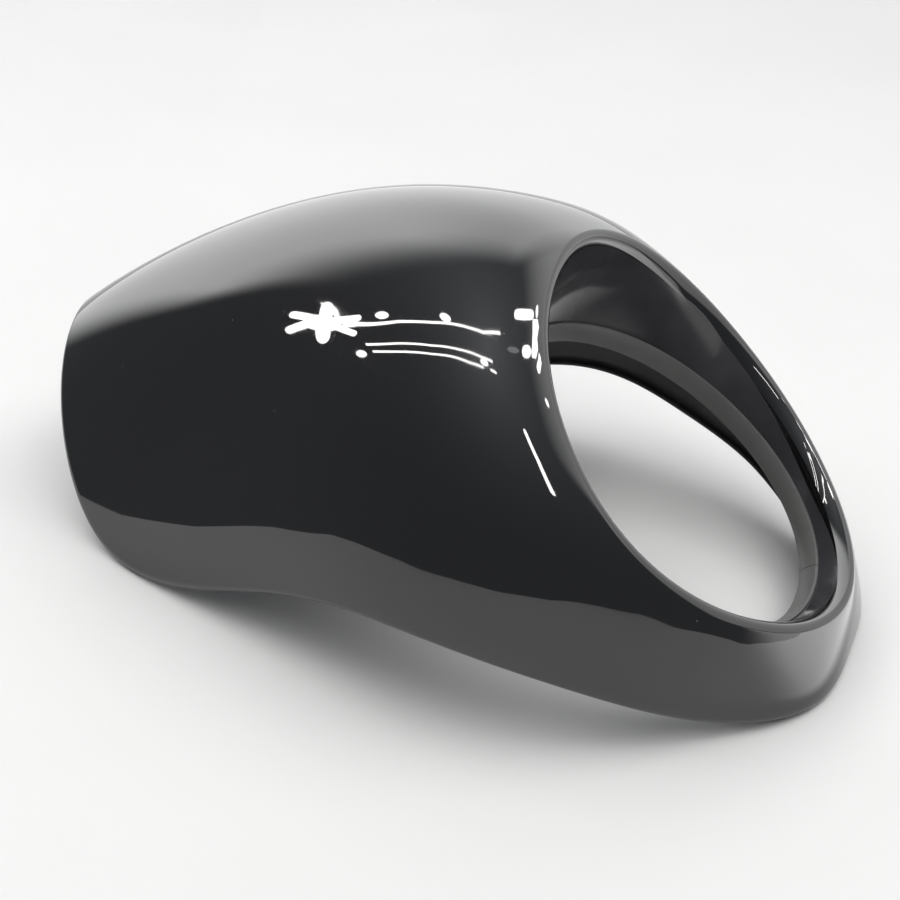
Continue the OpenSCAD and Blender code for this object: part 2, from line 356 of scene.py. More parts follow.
class ClockCurve:
    """Smooth value round the clock, the same on both sides, through evenly spaced stations."""

    def __init__(self, stations: Sequence[float]) -> None:
        """Finds the control values of the even cubic curve through the stations.

        Args:
            stations: values from clock 0, towards the tail, to 180.
        """
        self.last = len(stations) - 1
        weights = np.zeros((len(stations), len(stations)))
        for i in range(len(stations)):
            for k, weight in ((i - 1, 1), (i, 4), (i + 1, 1)):
                weights[i, self.folded(np.array(k))] += weight / 6
        self.controls = np.linalg.solve(weights, np.array(stations, float))

    def folded(self, i: np.ndarray) -> np.ndarray:
        """Station numbers mirrored back into the row at its ends."""
        return np.where(i < 0, -i, np.where(i > self.last, 2 * self.last - i, i))

    def __call__(self, clock: np.ndarray) -> np.ndarray:
        """Values of the curve.

        Args:
            clock: clock angles in degrees.

        Returns:
            A value for each angle.
        """
        place = np.abs(clock) / 180 * self.last
        i = np.minimum(np.floor(place), self.last - 1).astype(int)
        t = place - i
        c = [self.controls[self.folded(i + k)] for k in (-1, 0, 1, 2)]
        return (
            (1 - t) ** 3 * c[0]
            + (3 * t**3 - 6 * t**2 + 4) * c[1]
            + (3 * t**2 + 3 * t + 1 - 3 * t**3) * c[2]
            + t**3 * c[3]
        ) / 6


@dataclass(frozen=True)
class SkinShape:
    """Sections of the cowl round the lamp axis, in millimetres and degrees."""

    opening_r: float
    nose_out: tuple[float, ...] = (15, 17, 16, 11.5, 15.5)
    nose_up: tuple[float, ...] = (65, 52, 30, 20, 17.5)
    edge_out: tuple[float, ...] = (194, 126.5, 76.5, 62.5, 45.5, 39, 38.5, 43.5, 39)
    edge_back: tuple[float, ...] = (143, 188, 120.5, 60.5, 38, 25.5, 19, 7.5, 3.5)
    nose_fall: tuple[float, ...] = (5, 18, 52, 36)
    nose_hold: tuple[float, ...] = (118, 60, 6.5, 6.5)
    edge_fall: tuple[float, ...] = (81, 109, 90, 54)
    edge_hold: tuple[float, ...] = (8, 13, 18, 9.5)
    wall: float = 2.5
    nose_radius: float = 4.5
    nose_inner_radius: tuple[float, ...] = (6, 9, 10.5, 10.5, 11)
    nose_change: float = -36.0
    hem_radius: float = 5.0
    hem_turn: float = 70.0
    seat_draft: float = 15.0
    seat_gap: float = 1.8
    seat_low: float = 1.6
    seat_high: float = 9.5
    nose_steps: int = 20
    well_points: int = 5
    skin_steps: int = 68
    hem_steps: int = 8
    cap_steps: int = 6
    wall_shares: tuple[float, ...] = (0, 0.08, 0.36, 0.68)

    def seat(self, height: float) -> np.ndarray:
        """Point of the trim's seat at a height over the back edge."""
        draft = math.tan(math.radians(self.seat_draft))
        return np.array([self.opening_r + self.seat_gap + height * draft, height])

    def nose_centre(self, clock: np.ndarray) -> np.ndarray:
        """Centre of the nose's round in each section."""
        out = ClockCurve(self.nose_out)(clock)
        return np.stack([self.opening_r + out, ClockCurve(self.nose_up)(clock)], -1)

    def nose(self, clock: np.ndarray, degrees: np.ndarray) -> np.ndarray:
        """Points on the nose's round.

        Args:
            clock: clock angles of the sections.
            degrees: angle of each point from the lamp axis.

        Returns:
            Radius and height of each point.
        """
        inner = (degrees < self.nose_change)[..., None]
        centre, radius = self.inner_round(clock)
        outer_point = self.nose_centre(clock) + self.nose_radius * leaning(degrees)
        return np.where(inner, centre + radius[..., None] * leaning(degrees), outer_point)

    def inner_round(self, clock: np.ndarray) -> tuple[np.ndarray, np.ndarray]:
        """The wider round between the wall and the nose.

        Args:
            clock: clock angles of the sections.

        Returns:
            Its centre and radius in each section.
        """
        radius = ClockCurve(self.nose_inner_radius)(clock)
        shift = (self.nose_radius - radius)[..., None] * leaning(np.array(self.nose_change))
        return self.nose_centre(clock) + shift, radius

    def wall_meets(self, clock: np.ndarray) -> np.ndarray:
        """Angle at which the wall from the seat is tangent to the nose's inner round.

        Args:
            clock: clock angles of the sections.

        Returns:
            An angle from the lamp axis for each section.
        """
        centre, radius = self.inner_round(clock)
        d = self.seat(self.seat_high) - centre
        away = np.degrees(np.arccos(radius / np.linalg.norm(d, axis=-1)))
        return np.degrees(np.arctan2(d[..., 0], d[..., 1])) + away

    def edge(self, clock: np.ndarray) -> np.ndarray:
        """Point of the free edge in each section."""
        out, back = ClockCurve(self.edge_out)(clock), ClockCurve(self.edge_back)(clock)
        return np.stack([self.opening_r + out, -back], -1)

    def skin(self, clock: np.ndarray, s: np.ndarray) -> np.ndarray:
        """Skin between nose and hem.

        Args:
            clock: clock angles of the sections.
            s: place along each section, from 0 to 1.

        Returns:
            Radius and height of each point.
        """
        leaves = ClockCurve(self.nose_fall)(clock)
        arrives = falling(ClockCurve(self.edge_fall)(clock))
        p0 = self.nose(clock, leaves)
        p1 = p0 + ClockCurve(self.nose_hold)(clock)[..., None] * falling(leaves)
        p2 = self.edge(clock) - ClockCurve(self.edge_hold)(clock)[..., None] * arrives
        p3 = self.edge(clock) - self.hem_radius * arrives
        s = np.asarray(s)[..., None]
        return (1 - s) ** 3 * p0 + 3 * s * (1 - s) ** 2 * p1 + 3 * s**2 * (1 - s) * p2 + s**3 * p3

    def hem(self, clock: np.ndarray, turn: float) -> np.ndarray:
        """The hem that rolls inwards.

        Args:
            clock: clock angles of the sections.
            turn: turn from the end of the skin, in degrees.

        Returns:
            Radius and height of the point in each section.
        """
        angle, r = ClockCurve(self.edge_fall)(clock), self.hem_radius
        c, s = math.cos(math.radians(turn)), math.sin(math.radians(turn))
        return self.edge(clock) + r * ((c - 1) * leaning(angle) + (s - 1) * falling(angle))

    def outside(self, clock: np.ndarray) -> np.ndarray:
        """Points of every section from the seat over the nose and the skin to the hem.

        Args:
            clock: clock angles of the sections, in degrees.

        Returns:
            Array of sections, points, and radius and height.
        """
        ones = np.ones(clock.shape + (1,))
        low, high = (ones * self.seat(h) for h in (self.seat_low, self.seat_high))
        meets, leaves = self.wall_meets(clock), ClockCurve(self.nose_fall)(clock)
        first = self.nose(clock, meets)
        wall = [high + (first - high) * t for t in self.wall_shares]
        steps, span = self.nose_steps, leaves - meets
        nose = [self.nose(clock, meets + span * i / steps) for i in range(steps)]
        steps = self.skin_steps
        skin = [self.skin(clock, np.full(clock.shape, i / steps)) for i in range(steps + 1)]
        steps = self.hem_steps
        hem = [self.hem(clock, self.hem_turn * i / steps) for i in range(1, steps + 1)]
        return np.stack([low, *wall, *nose, *skin, *hem], 1)

    @staticmethod
    def turned(clock: np.ndarray, section: np.ndarray) -> np.ndarray:
        """Sets sections round the lamp axis.

        Args:
            clock: clock angle of each section or point.
            section: radius and height of each point.

        Returns:
            Points in the lamp frame.
        """
        angle = np.radians(clock)
        r, z = section[..., 0], section[..., 1]
        return np.stack([r * np.sin(angle), r * np.cos(angle), z], -1)

    def skin_point(self, at: np.ndarray) -> np.ndarray:
        """Points of the skin at pairs of clock angle and s."""
        return self.turned(at[..., 0], self.skin(at[..., 0], at[..., 1]))

    def under(self, up: np.ndarray, z: np.ndarray, depth: float | np.ndarray) -> np.ndarray:
        """Points under the left side's skin, square to it, found with Newton steps.

        Args:
            up: distances from the lamp axis towards the tail.
            z: heights along the lamp axis.
            depth: depth under the skin.

        Returns:
            Array of points in the lamp frame.
        """
        clock_nudge, skin_nudge, rounds = 0.1, 0.001, 12
        first_clock, first_s = 66.0, 0.7
        at = np.stack([np.full(up.shape, first_clock), np.full(up.shape, first_s)], -1)
        for _ in range(rounds):
            p = self.skin_point(at)
            a = (self.skin_point(at + [clock_nudge, 0]) - p) / clock_nudge
            b = (self.skin_point(at + [0, skin_nudge]) - p) / skin_nudge
            e = np.stack([up - p[..., 1], z - p[..., 2]], -1)
            det = a[..., 1] * b[..., 2] - a[..., 2] * b[..., 1]
            step = [
                e[..., 0] * b[..., 2] - e[..., 1] * b[..., 1],
                a[..., 1] * e[..., 1] - a[..., 2] * e[..., 0],
            ]
            at = at + np.stack(step, -1) / det[..., None]
        p = self.skin_point(at)
        across = np.abs(unit(np.cross(a, b))[..., 0])
        return np.stack([p[..., 0] - depth / across, up, z], -1)


# Finishes


@dataclass(frozen=True)
class GlossBlack:
    """Deep gloss black outside, with faint waves, hairline scratches, haze and dust."""

    name: str = "gloss_black"
    colour: tuple[float, float, float] = (0.0035, 0.0036, 0.004)
    roughness: float = 0.018
    ior: float = 1.74
    wave_scale: float = 26.0
    wave_detail: float = 1.5
    wave_height: float = 1.4e-5
    haze_noise: tuple[float, float, float] = (16.0, 5.0, 0.62)
    haze_levels: tuple[float, float] = (0.42, 0.72)
    haze_roughness: float = 0.05
    scratch_turns: tuple[float, ...] = (12.0, -34.0, 71.0)
    scratch_tilts: tuple[float, float, float] = (1.0, 0.6, 1.7)
    scratch_stretch: tuple[float, float, float] = (9.0, 210.0, 95.0)
    scratch_width: float = 0.014
    scratch_noise: tuple[float, float] = (21.0, 2.0)
    scratch_levels: tuple[float, float] = (0.56, 0.7)
    scratch_roughness: float = 0.1
    dust_colour: tuple[float, float, float] = (0.16, 0.16, 0.155)
    dust_scale: float = 260.0
    dust_size: tuple[float, float] = (0.05, 0.1)
    dust_levels: tuple[float, float] = (0.975, 0.985)
    dust_roughness: float = 0.5

    def scratches(self, tree: TreeBuilder, coords: bpy.types.NodeSocket) -> bpy.types.NodeSocket:
        """Hairlines in a few directions, only where a slow noise lets them show.

        Args:
            tree: the material's tree.
            coords: object coordinates.

        Returns:
            Socket that is 1 in a scratch and 0 elsewhere.
        """
        total: Any = 0.0
        for turn in self.scratch_turns:
            rotation = tuple(math.radians(turn * k) for k in self.scratch_tilts)
            turned = tree.add("ShaderNodeMapping", {"Vector": coords, "Rotation": rotation}).outputs[0]
            place = {"Vector": turned, "Scale": self.scratch_stretch}
            cells = {"Vector": tree.add("ShaderNodeMapping", place).outputs[0], "Scale": 1.0}
            away = tree.add("ShaderNodeTexVoronoi", cells, feature="DISTANCE_TO_EDGE").outputs["Distance"]
            line = tree.ramp(away, 0.0, self.scratch_width, (1.0, 0.0))
            shown = tree.ramp(tree.noise(turned, *self.scratch_noise), *self.scratch_levels)
            total = tree.math("ADD", tree.math("MULTIPLY", line, shown), total, clamp=True)
        return total

    def dust(self, tree: TreeBuilder, coords: bpy.types.NodeSocket) -> bpy.types.NodeSocket:
        """Sparse pale specks.

        Args:
            tree: the material's tree.
            coords: object coordinates.

        Returns:
            Socket that is 1 on a speck and 0 elsewhere.
        """
        cells = tree.add("ShaderNodeTexVoronoi", {"Vector": coords, "Scale": self.dust_scale})
        speck = tree.ramp(cells.outputs["Distance"], *self.dust_size, (1.0, 0.0))
        pick = tree.add("ShaderNodeSeparateColor", {0: cells.outputs["Color"]})
        return tree.math("MULTIPLY", speck, tree.ramp(pick.outputs[0], *self.dust_levels))

    def material(self) -> bpy.types.Material:
        """Builds the finish.

        Returns:
            The material.
        """
        material, tree = new_material(self.name)
        coords = tree.add("ShaderNodeTexCoord").outputs["Object"]
        scratch, speck = self.scratches(tree, coords), self.dust(tree, coords)
        haze = tree.noise(coords, *self.haze_noise)
        rough = tree.ramp(haze, *self.haze_levels, (self.roughness, self.haze_roughness))
        rough = tree.math("ADD", rough, tree.math("MULTIPLY", scratch, self.scratch_roughness))
        rough = tree.math("ADD", rough, tree.math("MULTIPLY", speck, self.dust_roughness), clamp=True)
        wave = tree.noise(coords, self.wave_scale, self.wave_detail)
        tree.surface("ShaderNodeBsdfPrincipled", {
            "Base Color": tree.mix(speck, self.colour, self.dust_colour), "Roughness": rough,
            "Normal": tree.bump(wave, self.wave_height), "IOR": self.ior})
        return material


@dataclass(frozen=True)
class GrainFinish:
    """Even finish with a fine grain, for the other surfaces and the floor."""

    name: str
    colour: tuple[float, float, float]
    spread: float
    roughness: float
    roughness_spread: float
    grain_scale: float
    grain_height: float
    patch_scale: float = 30.0
    metallic: float = 0.0
    ior: float = 1.5
    patch_detail: float = 4.0
    patch_levels: tuple[float, float] = (0.35, 0.65)
    grain_detail: float = 3.0
    grain_levels: tuple[float, float] = (0.3, 0.7)

    def material(self) -> bpy.types.Material:
        """Builds the finish.

        Returns:
            The material.
        """
        material, tree = new_material(self.name)
        coords = tree.add("ShaderNodeTexCoord").outputs["Object"]
        patch = tree.ramp(tree.noise(coords, self.patch_scale, self.patch_detail), *self.patch_levels)
        grain = tree.noise(coords, self.grain_scale, self.grain_detail)
        shades = [[min(c * gain, 1.0) for c in self.colour] for gain in (1 - self.spread, 1 + self.spread)]
        ends = (self.roughness - self.roughness_spread, self.roughness + self.roughness_spread)
        tree.surface("ShaderNodeBsdfPrincipled", {
            "Base Color": tree.mix(patch, *shades), "Roughness": tree.ramp(grain, *self.grain_levels, ends),
            "Normal": tree.bump(grain, self.grain_height), "Metallic": self.metallic, "IOR": self.ior})
        return material


# Painted sheen: the bezel well is glossy black paint like the skin, but its colour is a lighter grey that stands
# in for the light it reflects.
WELL_PAINTED_SHEEN = GrainFinish("dusty_well", (0.042, 0.042, 0.046), 0.1, 0.11, 0.03, 1200.0, 1e-6, 24.0, 0.0, 1.6)
# Partly painted light: the inside is bare dark plastic, and its colour is lifted to a lighter grey that stands in
# for light on the shaded inside.
SATIN_INSIDE_PAINTED_LIGHT = GrainFinish("satin_inside", (0.07, 0.07, 0.075), 0.12, 0.34, 0.05, 2200.0, 6e-6)
TRIM_RUBBER = GrainFinish("edge_rubber", (0.1, 0.1, 0.098), 0.06, 0.42, 0.05, 1600.0, 1.2e-5)
TURNED_BRASS = GrainFinish("turned_brass", (0.72, 0.51, 0.22), 0.08, 0.3, 0.08, 1800.0, 4e-6, 160.0, 1.0)
PALE_FLOOR = GrainFinish("pale_floor", (0.9, 0.9, 0.895), 0.008, 0.75, 0.05, 300.0, 4e-5, 5.0)


# Sub-assemblies


@dataclass
class CowlShell:
    """The one-piece moulding: skin, rolled edges and the four bosses inside."""

    lamp: LampFrame
    shape: SkinShape
    sections: int = 360
    boss_places: tuple[tuple[float, float], ...] = ((86.0, 34.0), (125.0, 85.0))
    boss_r: float = 8.0
    boss_h: float = 14.0
    boss_root: float = 3.0
    boss_edge: float = 0.5
    root_sink: float = 0.1
    pocket_r: float = 4.05
    pocket_depth: float = 10.3
    pocket_lead: float = 0.35
    boss_facets: int = 64
    even_share: float = 0.6
    crowded_share: float = 0.4
    sharp_degrees: float = 32.0

    def rings(self) -> tuple[np.ndarray, int]:
        """Closed rings of points for every section, outside first.

        Returns:
            The rings in the lamp frame, and how many points of each are outside.
        """
        u = np.arange(self.sections) / self.sections * 2 - 1
        clock = np.sign(u) * 180 * (self.even_share * np.abs(u) + self.crowded_share * u**2)
        section = self.shape.outside(np.abs(clock))
        outer = self.shape.turned(clock[:, None], section)
        steps = unit(np.diff(outer, axis=1))
        along = np.zeros_like(outer)
        along[:, 1:] += steps
        along[:, :-1] += steps
        along = unit(along)
        outward = unit(np.cross(np.roll(outer, -1, 0) - np.roll(outer, 1, 0), along))
        last, half_wall = outer.shape[1] - 1, self.shape.wall / 2
        end, out, on = outer[:, last], outward[:, last], along[:, last]
        turns = np.pi * np.arange(1, self.shape.cap_steps) / self.shape.cap_steps
        cap = [end + half_wall * ((math.cos(t) - 1) * out + math.sin(t) * on) for t in turns]
        kept = [i for i in range(last, -1, -1) if i % 2 == 0 or i in (1, 2, last)]
        inner = (outer - self.shape.wall * outward)[:, kept]
        return np.concatenate([outer, np.stack(cap, 1), inner], 1), last + 1 + len(cap) // 2

    def boss_rings(self, up: float, back: float) -> np.ndarray:
        """Rings of one boss of the left side, from inside the wall to the pocket's floor.

        Args:
            up: place of its axis, from the lamp axis towards the tail.
            back: place of its axis behind the opening's back edge.

        Returns:
            Array of rings of points in the lamp frame.
        """
        angle = 2 * np.pi * np.arange(self.boss_facets) / self.boss_facets
        wall, root = self.shape.wall, self.boss_root

        def circle(r: float) -> tuple[np.ndarray, np.ndarray]:
            """Places up and along the axis on a circle round the boss's axis."""
            return up + r * np.cos(angle), -back + r * np.sin(angle)

        def flat(r: float, x: float) -> np.ndarray:
            """Ring of one radius square to the boss's axis."""
            u, z = circle(r)
            return np.stack([np.full(u.shape, x), u, z], -1)

        middle = self.shape.under(np.array([up]), np.array([-back]), wall)[0]
        face = middle[0] - self.boss_h
        rings = [self.shape.under(*circle(self.boss_r + root), wall / 2)]
        for t in np.radians(np.arange(0, 91, 15)):
            depth = wall - self.root_sink * root + root * (1 - math.cos(t))
            rings.append(self.shape.under(*circle(self.boss_r + root * (1 - math.sin(t))), depth))
        for t in np.radians((0, 30, 60, 90)):
            edge = self.boss_edge
            rings.append(flat(self.boss_r - edge * (1 - math.cos(t)), face + edge * (1 - math.sin(t))))
        rings += [
            flat(self.pocket_r + self.pocket_lead, face),
            flat(self.pocket_r, face + self.pocket_lead),
            flat(self.pocket_r, face + self.pocket_depth),
        ]
        return np.stack(rings)

    def boss_mesh(self) -> bpy.types.Mesh:
        """All four bosses as closed solids.

        Returns:
            One mesh in the part's frame.
        """
        points, faces = [], []
        for up, back in self.boss_places:
            rings = self.boss_rings(up, back)
            count, around = rings.shape[:2]
            body = hoop_faces(count, around, closed=False).tolist()
            body.append(list(range(around))[::-1])
            body.append([(count - 1) * around + i for i in range(around)])
            for side in Side:
                start = sum(len(p) for p in points)
                points.append(rings.reshape(-1, 3) * [side.value, 1, 1])
                faces += [[start + i for i in (f[::-1] if side is Side.LEFT else f)] for f in body]
        return new_mesh("bosses", self.lamp.to_world(np.concatenate(points)), faces)

    def build(self) -> bpy.types.Object:
        """Builds and dresses the shell.

        Returns:
            The finished piece, in place of the CAD node.
        """
        rings, outside = self.rings()
        count, around = rings.shape[:2]
        faces = hoop_faces(count, around)[:, ::-1]
        mesh = new_mesh("cowl_skin", self.lamp.to_world(rings.reshape(-1, 3)), faces)
        # Inside faces and bosses take the dark plastic grey that is partly lifted with painted light.
        inside = (np.arange(len(faces)) % around) >= outside
        # The well faces take the lighter grey of painted sheen, in place of reflected light.
        well = (np.arange(len(faces)) % around) < self.shape.well_points
        mesh.polygons.foreach_set("material_index", (inside + 2 * well).astype(np.int32))
        shell, bosses = new_object("cowl_skin", mesh), new_object("bosses", self.boss_mesh())
        bosses.data.polygons.foreach_set("material_index", [1] * len(bosses.data.polygons))
        for piece in (shell, bosses):
            for finish in (GLOSS, SATIN, WELL):
                piece.data.materials.append(finish)
        join = shell.modifiers.new("join_bosses", "BOOLEAN")
        join.operation, join.solver, join.object = "UNION", "MANIFOLD", bosses
        mesh = settled(shell)
        remove(bosses)
        smooth(mesh, self.sharp_degrees)
        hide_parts("cowl_shell")
        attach(shell, BODY)
        return shell


@dataclass
class EdgeTrim:
    """Rubber channel pushed over the edge of the lamp hole, with a butt joint."""

    lamp: LampFrame
    shape: SkinShape
    flare: float = 2.6
    height: float = 9.5
    leg: float = 1.6
    outer_leg: float = 8.0
    web: float = 2.0
    rounding: float = 0.7
    tip_round: float = 0.25
    clearance: float = 0.2
    end_clearance: float = 0.3
    joint_gap: float = 0.4
    joint_clock: float = 166.0
    steps: int = 288
    sharp_degrees: float = 40.0

    def profile(self) -> np.ndarray:
        """Section of the channel.

        Returns:
            Radius and height of each corner.
        """
        r0, land = self.lamp.opening_r, self.lamp.land
        draft = math.radians(self.shape.seat_draft)
        along = np.array([math.sin(draft), math.cos(draft)])
        off = np.array([math.cos(draft), -math.sin(draft)])
        low = self.shape.seat(self.web - self.rounding + self.end_clearance)
        inner = low - self.clearance * off - self.end_clearance * along
        outer = inner + (self.shape.wall + 2 * self.clearance) * off
        tip = np.array([r0 + self.flare, self.height])
        tip_in = self.shape.seat(self.height) - [self.clearance / math.cos(draft), 0]
        outer_tip = outer + self.outer_leg * along
        heel = outer[0] + self.leg / math.cos(draft) - self.rounding

        def quarter(
            centre: np.ndarray, r: float, start: Sequence[float], end: Sequence[float]
        ) -> list[np.ndarray]:
            """Quarter round from one direction to the next."""
            a, b, turns = np.array(start), np.array(end), np.radians((0, 22.5, 45, 67.5, 90))
            return [centre + r * (math.cos(t) * a + math.sin(t) * b) for t in turns]

        t = self.tip_round
        return np.array([
            *quarter(np.array([r0 + self.rounding, 0]), self.rounding, [0, -1], [-1, 0]),
            [r0, land],
            tip - [0.3 * t, t],
            *quarter(tip + [t, -t], t, [-1, 0], [0, 1]),
            *quarter(tip_in - [t, t], t, [0, 1], [1, 0]),
            inner,
            outer,
            outer_tip,
            *quarter(outer_tip + self.leg / 2 * off, self.leg / 2, along, off),
            *quarter(np.array([heel, 0]), self.rounding, [1, 0], [0, -1]),
        ])

    def tree(self) -> bpy.types.NodeTree:
        """Sweep of the profile round an arc that stops short of a full turn.

        Returns:
            Geometry tree with inputs for radius, gap, joint clock, steps and finish.
        """
        sizes = {"Radius": "Float", "Gap": "Float", "Joint Clock": "Float", "Steps": "Int"}
        tree, given = new_geometry_tree("ring_sweep", sizes)
        gap = tree.math("DIVIDE", given["Gap"], given["Radius"])
        start = tree.math("SUBTRACT", math.pi / 2, given["Joint Clock"])
        start = tree.math("ADD", start, tree.math("MULTIPLY", gap, 0.5))
        sweep = tree.math("SUBTRACT", 2 * math.pi, gap)
        arc = tree.add("GeometryNodeCurveArc", {
            "Resolution": given["Steps"], "Radius": given["Radius"],
            "Start Angle": start, "Sweep Angle": sweep})
        outline = tree.add("GeometryNodeMeshToCurve", {0: given["Geometry"]})
        swept = tree.add("GeometryNodeCurveToMesh", {
            "Curve": arc.outputs["Curve"], "Profile Curve": outline.outputs[0], "Fill Caps": True})
        return tree.close(swept.outputs[0], given["Finish"])

    def build(self) -> bpy.types.Object:
        """Builds and dresses the trim.

        Returns:
            The finished piece, in place of the CAD node.
        """
        profile = self.profile()
        flat = np.stack([profile[:, 0] - self.lamp.opening_r, -profile[:, 1], np.zeros(len(profile))], 1)
        mesh = bpy.data.meshes.new("edge_trim_rubber")
        edges = [(i, (i + 1) % len(flat)) for i in range(len(flat))]
        mesh.from_pydata((flat * MM).tolist(), edges, [])
        trim = new_object("edge_trim_rubber", mesh)
        sweep = trim.modifiers.new("sweep", "NODES")
        sweep.node_group = self.tree()
        values = {"Radius": self.lamp.opening_r * MM, "Gap": self.joint_gap * MM,
                  "Joint Clock": math.radians(self.joint_clock), "Steps": self.steps, "Finish": RUBBER}
        set_inputs(sweep, values)
        mesh = settled(trim)
        place = Matrix(self.lamp.matrix().tolist()).to_4x4()
        place.translation = Vector(self.lamp.centre)
        mesh.transform(place)
        smooth(mesh, self.sharp_degrees)
        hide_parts("edge_trim")
        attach(trim, BODY)
        return trim


@dataclass
class ThreadedInsert:
    """Brass insert with two knurled bands and a tapped hole."""

    name: str
    node: str
    mouth: np.ndarray
    inward: float
    length: float = 10.0
    radius: float = 4.0
    core_r: float = 3.82
    groove: float = 0.5
    groove_w: float = 2.0
    thread_r: float = 2.5
    thread_depth: float = 0.5
    pitch: float = 1.0
    lead: float = 0.6
    teeth: int = 36
    facets: int = 48
    tooth_root: float = 0.05
    end_bevel: float = 0.25
    hole_bevel: float = 0.2
    thread_facets: int = 28
    sharp_degrees: float = 30.0

    def core(self) -> bpy.types.Mesh:
        """Turned core, with its mouth at Z = 0 and its body below.

        Returns:
            The mesh, in metres.
        """
        r, hole, half = self.core_r, self.thread_r + self.thread_depth, self.groove_w / 2
        mid, lead, end, groove_r = self.length / 2, self.lead, self.length, self.radius - self.groove
        profile = [
            (hole + lead * 0.4, 0), (r - self.end_bevel, 0), (r, self.end_bevel), (r, mid - half),
            (groove_r, mid - half), (groove_r, mid + half), (r, mid + half), (r, end - lead),
            (r - 0.5 * lead, end), (hole + self.hole_bevel, end), (hole, end - self.hole_bevel),
            (hole, lead * 0.7),
        ]
        turn = 2 * np.pi * np.arange(self.facets) / self.facets
        rings = np.array([[(p[0] * math.cos(t), p[0] * math.sin(t), -p[1]) for p in profile] for t in turn])
        return new_mesh(self.name, rings.reshape(-1, 3) * MM, hoop_faces(self.facets, len(profile)))

    def tree(self) -> bpy.types.NodeTree:
        """Teeth round two bands and a spiral thread, joined to the core.

        Returns:
            Geometry tree with named inputs for the sizes and the finish.
        """
        floats = ("Core Radius", "Tooth Height", "Band Length", "Band Offset", "Length", "Thread Radius",
                  "Thread Depth", "Pitch")
        tree, given = new_geometry_tree("knurl_and_thread", {**dict.fromkeys(floats, "Float"), "Teeth": "Int"})
        middle = tree.math("MULTIPLY", given["Length"], -0.5)
        tooth = self.tooth(tree, given)
        bands = []
        for sign in (-1.0, 1.0):
            z = tree.math("ADD", middle, tree.math("MULTIPLY", given["Band Offset"], sign))
            at = tree.add("ShaderNodeCombineXYZ", {"Z": z}).outputs[0]
            ring = tree.add("GeometryNodeMeshCircle", {"Vertices": given["Teeth"], "Radius": given["Core Radius"]})
            moved = tree.add("GeometryNodeTransform", {"Geometry": ring.outputs[0], "Translation": at})
            place = tree.add("GeometryNodeInputPosition").outputs[0]
            level = {0: place, 1: (1.0, 1.0, 0.0)}
            flat = tree.add("ShaderNodeVectorMath", level, operation="MULTIPLY").outputs[0]
            turn = tree.add("FunctionNodeAlignRotationToVector", {"Vector": flat}, axis="X", pivot_axis="Z")
            bands.append(tree.add("GeometryNodeInstanceOnPoints", {
                "Points": moved.outputs[0], "Instance": tooth, "Rotation": turn.outputs[0]}).outputs[0])
        join = tree.add("GeometryNodeJoinGeometry")
        for part in (*bands, self.thread(tree, given), given["Geometry"]):
            tree.tree.links.new(part, join.inputs[0])
        return tree.close(join.outputs[0], given["Finish"])

    @staticmethod
    def tooth(tree: TreeBuilder, given: Any) -> bpy.types.NodeSocket:
        """One straight tooth: a three-sided bar along Z that points along X."""
        size = {"Vertices": 3, "Radius": given["Tooth Height"], "Depth": given["Band Length"]}
        return tree.add("GeometryNodeMeshCylinder", size).outputs["Mesh"]

    def thread(self, tree: TreeBuilder, given: Any) -> bpy.types.NodeSocket:
        """Spiral ridge inside the hole, as deep as the thread.

        Args:
            tree: the geometry tree.
            given: the sockets that give out its inputs.

        Returns:
            Socket with the ridge.
        """
        turns = tree.math("DIVIDE", tree.math("SUBTRACT", given["Length"], given["Pitch"]), given["Pitch"])
        major = tree.math("ADD", given["Thread Radius"], given["Thread Depth"])
        spiral = tree.add("GeometryNodeCurveSpiral", {
            "Resolution": self.thread_facets, "Rotations": turns, "Start Radius": major,
            "End Radius": major, "Height": tree.math("MULTIPLY", turns, given["Pitch"])})
        down = tree.math("SUBTRACT", tree.math("MULTIPLY", given["Pitch"], 0.5), given["Length"])
        at = tree.add("ShaderNodeCombineXYZ", {"Z": down}).outputs[0]
        low = tree.add("GeometryNodeTransform", {"Geometry": spiral.outputs[0], "Translation": at})
        ridge = tree.add("GeometryNodeCurvePrimitiveCircle", {"Resolution": 4, "Radius": given["Thread Depth"]})
        swept = tree.add("GeometryNodeCurveToMesh", {
            "Curve": low.outputs[0], "Profile Curve": ridge.outputs[0], "Fill Caps": True})
        return swept.outputs[0]

    def build(self) -> bpy.types.Object:
        """Builds and dresses the insert.

        Returns:
            The finished piece, in place of the CAD node.
        """
        insert = new_object(self.name, self.core())
        insert.data.materials.append(BRASS)
        cut = insert.modifiers.new("cut", "NODES")
        cut.node_group = self.tree()
        band = (self.length - self.groove_w) / 2 - self.lead
        root = self.tooth_root
        sizes = {
            "Core Radius": self.core_r - root, "Tooth Height": self.radius - self.core_r + root,
            "Band Length": band, "Band Offset": (self.groove_w + band) / 2, "Length": self.length,
            "Thread Radius": self.thread_r, "Thread Depth": self.thread_depth, "Pitch": self.pitch}
        sizes = {name: size * MM for name, size in sizes.items()}
        set_inputs(cut, {**sizes, "Teeth": self.teeth, "Finish": BRASS})
        mesh = settled(insert)
        turn = Matrix.Rotation(-self.inward * math.pi / 2, 4, "Y")
        mesh.transform(Matrix.Translation(Vector(self.mouth)) @ turn)
        smooth(mesh, self.sharp_degrees)
        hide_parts(self.node)
        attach(insert, BODY)
        return insert


# Studio


@dataclass(frozen=True)
class Glow:
    """Even light of a lamp's face."""

    name: str
    colour: tuple[float, float, float]
    strength: float

    def material(self) -> bpy.types.Material:
        """Builds the light.

        Returns:
            The material.
        """
        material, tree = new_material(self.name)
        tree.surface("ShaderNodeEmission", {"Color": (*self.colour, 1), "Strength": self.strength})
        return material


